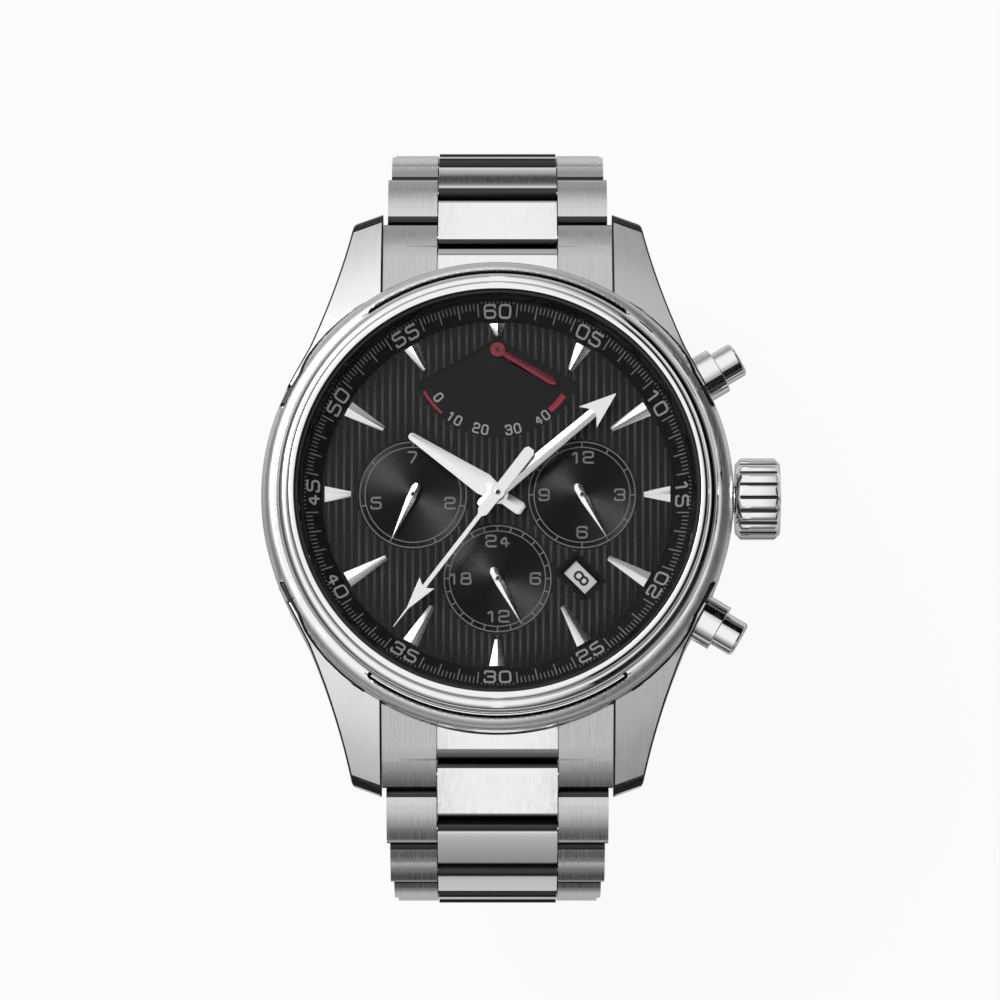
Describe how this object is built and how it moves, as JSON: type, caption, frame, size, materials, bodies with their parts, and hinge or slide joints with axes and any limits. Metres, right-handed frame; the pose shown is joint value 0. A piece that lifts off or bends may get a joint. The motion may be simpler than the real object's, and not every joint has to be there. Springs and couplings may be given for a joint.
{
  "type": "wristwatch",
  "caption": "Round steel multi-dial automatic wristwatch with crown, side pushers, sub-dials, power-reserve sector and a hinged link bracelet with folding clasp.",
  "frame": {"origin": "centre of the case back's outer face, where the watch rests on the wrist", "axes": "+Z out of the dial, +Y to 12 o'clock, +X to the crown"},
  "size_m": [0.0463, 0.0694, 0.0514],
  "materials": {
    "polished_steel": "mirror polished stainless steel",
    "brushed_steel": "stainless steel, lengthwise brushed",
    "sapphire": "clear flat crystal",
    "gasket_rubber": "moulded black rubber",
    "ring_black": "satin black lacquer",
    "dial_black": "ribbed black lacquer",
    "rhodium": "rhodium-plated brass",
    "red_lacquer": "gloss red lacquer",
    "white_print": "white lacquer",
    "holder_steel": "turned steel",
    "nickel_brass": "nickel-plated brass",
    "gilt_brass": "gilt brass",
    "rotor_steel": "circular-brushed steel"
  },
  "bodies": {
    "case": {"case_middle": "polished_steel", "bezel": "polished_steel", "crystal": "sapphire", "crystal_gasket": "gasket_rubber", "minute_ring": "ring_black", "dial": "dial_black", "hour_markers": "rhodium", "movement_ring": "holder_steel", "main_plate": "nickel_brass", "barrel_bridge": "nickel_brass", "train_bridge": "nickel_brass", "balance_cock": "nickel_brass", "case_back": "brushed_steel", "back_crystal": "sapphire", "crown_tube": "polished_steel", "pusher_collars": "polished_steel", "spring_bars": "brushed_steel", "upper_end_link": "brushed_steel", "lower_end_link": "brushed_steel"},
    "minute_hand": {"minute_hand": "rhodium"},
    "hour_hand": {"hour_hand": "rhodium"},
    "seconds_hand": {"seconds_hand": "rhodium"},
    "weekday_hand": {"weekday_hand": "rhodium"},
    "month_hand": {"month_hand": "rhodium"},
    "day_hand": {"day_hand": "rhodium"},
    "reserve_hand": {"reserve_hand": "red_lacquer"},
    "date_disc": {"date_disc": "white_print"},
    "minute_wheel": {"minute_wheel": "gilt_brass"},
    "winding_pinion": {"winding_pinion": "holder_steel"},
    "crown": {"crown": "polished_steel"},
    "upper_pusher": {"upper_pusher": "polished_steel"},
    "lower_pusher": {"lower_pusher": "polished_steel"},
    "rotor": {"rotor": "rotor_steel"},
    "balance_wheel": {"balance_wheel": "gilt_brass"},
    "upper_row_1": {"upper_row_1": "brushed_steel"},
    "upper_row_2": {"upper_row_2": "brushed_steel"},
    "upper_row_3": {"upper_row_3": "brushed_steel"},
    "upper_row_4": {"upper_row_4": "brushed_steel"},
    "upper_row_5": {"upper_row_5": "brushed_steel"},
    "upper_row_6": {"upper_row_6": "brushed_steel"},
    "upper_row_7": {"upper_row_7": "brushed_steel"},
    "upper_row_8": {"upper_row_8": "brushed_steel"},
    "lower_row_1": {"lower_row_1": "brushed_steel"},
    "lower_row_2": {"lower_row_2": "brushed_steel"},
    "lower_row_3": {"lower_row_3": "brushed_steel"},
    "lower_row_4": {"lower_row_4": "brushed_steel"},
    "lower_row_5": {"lower_row_5": "brushed_steel"},
    "lower_row_6": {"lower_row_6": "brushed_steel"},
    "lower_row_7": {"lower_row_7": "brushed_steel"},
    "lower_row_8": {"lower_row_8": "brushed_steel"},
    "clasp_inner_blade": {"clasp_inner_blade": "brushed_steel"},
    "clasp_middle_blade": {"clasp_middle_blade": "brushed_steel"},
    "clasp_cover": {"clasp_cover": "brushed_steel"},
    "clasp_button_crown_side": {"clasp_button_crown_side": "brushed_steel"},
    "clasp_button_far_side": {"clasp_button_far_side": "brushed_steel"}
  },
  "joints": [
    {"name": "minute_turn", "type": "hinge", "parent": "case", "child": "minute_hand", "pos_m": [0, 0, 0.0082], "axis": [0, 0, -1], "continuous": true},
    {"name": "hour_turn", "type": "hinge", "parent": "case", "child": "hour_hand", "pos_m": [0, 0, 0.0082], "axis": [0, 0, -1], "continuous": true},
    {"name": "seconds_turn", "type": "hinge", "parent": "case", "child": "seconds_hand", "pos_m": [0, 0, 0.0082], "axis": [0, 0, -1], "continuous": true},
    {"name": "weekday_turn", "type": "hinge", "parent": "case", "child": "weekday_hand", "pos_m": [-0.0075, 0, 0.0082], "axis": [0, 0, -1], "continuous": true},
    {"name": "month_turn", "type": "hinge", "parent": "case", "child": "month_hand", "pos_m": [0.0075, 0, 0.0082], "axis": [0, 0, -1], "continuous": true},
    {"name": "day_turn", "type": "hinge", "parent": "case", "child": "day_hand", "pos_m": [0, -0.0075, 0.0082], "axis": [0, 0, -1], "continuous": true},
    {"name": "reserve_swing", "type": "hinge", "parent": "case", "child": "reserve_hand", "pos_m": [0, 0.013, 0.0082], "axis": [0, 0, -1], "range_deg": [0, 119]},
    {"name": "date_turn", "type": "hinge", "parent": "case", "child": "date_disc", "pos_m": [0, 0, 0.00775], "axis": [0, 0, 1], "continuous": true},
    {"name": "minute_wheel_turn", "type": "hinge", "parent": "case", "child": "minute_wheel", "pos_m": [0.00212, 0.00212, 0.007], "axis": [0, 0, -1], "continuous": true},
    {"name": "crown_turn", "type": "hinge", "parent": "case", "child": "winding_pinion", "pos_m": [0.0122, 0, 0.0056], "axis": [1, 0, 0], "continuous": true},
    {"name": "crown_pull", "type": "slide", "parent": "winding_pinion", "child": "crown", "axis": [1, 0, 0], "range_m": [0, 0.0012]},
    {"name": "upper_pusher_press", "type": "slide", "parent": "case", "child": "upper_pusher", "axis": [-0.8616, -0.5075, 0], "range_m": [0, 0.0009], "stiffness_N_per_m": 500},
    {"name": "lower_pusher_press", "type": "slide", "parent": "case", "child": "lower_pusher", "axis": [-0.8616, 0.5075, 0], "range_m": [0, 0.0009], "stiffness_N_per_m": 500},
    {"name": "rotor_turn", "type": "hinge", "parent": "case", "child": "rotor", "pos_m": [0, 0, 0.0026], "axis": [0, 0, 1], "continuous": true},
    {"name": "balance_swing", "type": "hinge", "parent": "case", "child": "balance_wheel", "pos_m": [0, -0.0086, 0.0043], "axis": [0, 0, 1], "range_deg": [-270, 270]},
    {"name": "clasp_fold", "type": "hinge", "parent": "clasp_inner_blade", "child": "clasp_middle_blade", "pos_m": [0, 0.0135, -0.03441], "axis": [1, 0, 0], "range_deg": [0, 120]},
    {"name": "clasp_cover_hinge", "type": "hinge", "parent": "clasp_middle_blade", "child": "clasp_cover", "pos_m": [0, -0.01304, -0.0356], "axis": [-1, 0, 0], "range_deg": [0, 120]},
    {"name": "clasp_button_crown_side_press", "type": "slide", "parent": "clasp_cover", "child": "clasp_button_crown_side", "axis": [-1, 0, 0], "range_m": [0, 0.0005], "stiffness_N_per_m": 200},
    {"name": "clasp_button_far_side_press", "type": "slide", "parent": "clasp_cover", "child": "clasp_button_far_side", "axis": [1, 0, 0], "range_m": [0, 0.0005], "stiffness_N_per_m": 200},
    {"name": "upper_hinge_1", "type": "hinge", "parent": "case", "child": "upper_row_1", "pos_m": [0, 0.0241, 0.0022], "axis": [1, 0, 0], "range_deg": [0, 4]},
    {"name": "upper_hinge_2", "type": "hinge", "parent": "upper_row_1", "child": "upper_row_2", "pos_m": [0, 0.02871, -0.0008], "axis": [1, 0, 0], "range_deg": [0, 22]},
    {"name": "upper_hinge_3", "type": "hinge", "parent": "upper_row_2", "child": "upper_row_3", "pos_m": [0, 0.03187, -0.0053], "axis": [1, 0, 0], "range_deg": [0, 22]},
    {"name": "upper_hinge_4", "type": "hinge", "parent": "upper_row_3", "child": "upper_row_4", "pos_m": [0, 0.0331, -0.01066], "axis": [1, 0, 0], "range_deg": [0, 14.4]},
    {"name": "upper_hinge_5", "type": "hinge", "parent": "upper_row_4", "child": "upper_row_5", "pos_m": [0, 0.03297, -0.01616], "axis": [1, 0, 0], "range_deg": [0, 14.4]},
    {"name": "upper_hinge_6", "type": "hinge", "parent": "upper_row_5", "child": "upper_row_6", "pos_m": [0, 0.03147, -0.02145], "axis": [1, 0, 0], "range_deg": [0, 14.4]},
    {"name": "upper_hinge_7", "type": "hinge", "parent": "upper_row_6", "child": "upper_row_7", "pos_m": [0, 0.02871, -0.0262], "axis": [1, 0, 0], "range_deg": [0, 14.4]},
    {"name": "upper_hinge_8", "type": "hinge", "parent": "upper_row_7", "child": "upper_row_8", "pos_m": [0, 0.02484, -0.03012], "axis": [1, 0, 0], "range_deg": [0, 14.4]},
    {"name": "lower_hinge_1", "type": "hinge", "parent": "case", "child": "lower_row_1", "pos_m": [0, -0.0241, 0.0022], "axis": [-1, 0, 0], "range_deg": [0, 4]},
    {"name": "lower_hinge_2", "type": "hinge", "parent": "lower_row_1", "child": "lower_row_2", "pos_m": [0, -0.02871, -0.0008], "axis": [-1, 0, 0], "range_deg": [0, 22]},
    {"name": "lower_hinge_3", "type": "hinge", "parent": "lower_row_2", "child": "lower_row_3", "pos_m": [0, -0.03187, -0.0053], "axis": [-1, 0, 0], "range_deg": [0, 22]},
    {"name": "lower_hinge_4", "type": "hinge", "parent": "lower_row_3", "child": "lower_row_4", "pos_m": [0, -0.0331, -0.01066], "axis": [-1, 0, 0], "range_deg": [0, 14.4]},
    {"name": "lower_hinge_5", "type": "hinge", "parent": "lower_row_4", "child": "lower_row_5", "pos_m": [0, -0.03297, -0.01616], "axis": [-1, 0, 0], "range_deg": [0, 14.4]},
    {"name": "lower_hinge_6", "type": "hinge", "parent": "lower_row_5", "child": "lower_row_6", "pos_m": [0, -0.03147, -0.02145], "axis": [-1, 0, 0], "range_deg": [0, 14.4]},
    {"name": "lower_hinge_7", "type": "hinge", "parent": "lower_row_6", "child": "lower_row_7", "pos_m": [0, -0.02871, -0.0262], "axis": [-1, 0, 0], "range_deg": [0, 14.4]},
    {"name": "lower_hinge_8", "type": "hinge", "parent": "lower_row_7", "child": "lower_row_8", "pos_m": [0, -0.02484, -0.03012], "axis": [-1, 0, 0], "range_deg": [0, 14.4]},
    {"name": "clasp_end_hinge", "type": "hinge", "parent": "lower_row_8", "child": "clasp_inner_blade", "pos_m": [0, -0.02013, -0.03295], "axis": [-1, 0, 0], "range_deg": [0, 5.04]}
  ],
  "couplings": [
    {"joint": "hour_turn", "follows": "minute_turn", "ratio": 0.083333},
    {"joint": "day_turn", "follows": "minute_turn", "ratio": 0.041667},
    {"joint": "minute_wheel_turn", "follows": "minute_turn", "ratio": -0.33333},
    {"joint": "clasp_cover_hinge", "follows": "clasp_fold", "ratio": 1}
  ]
}
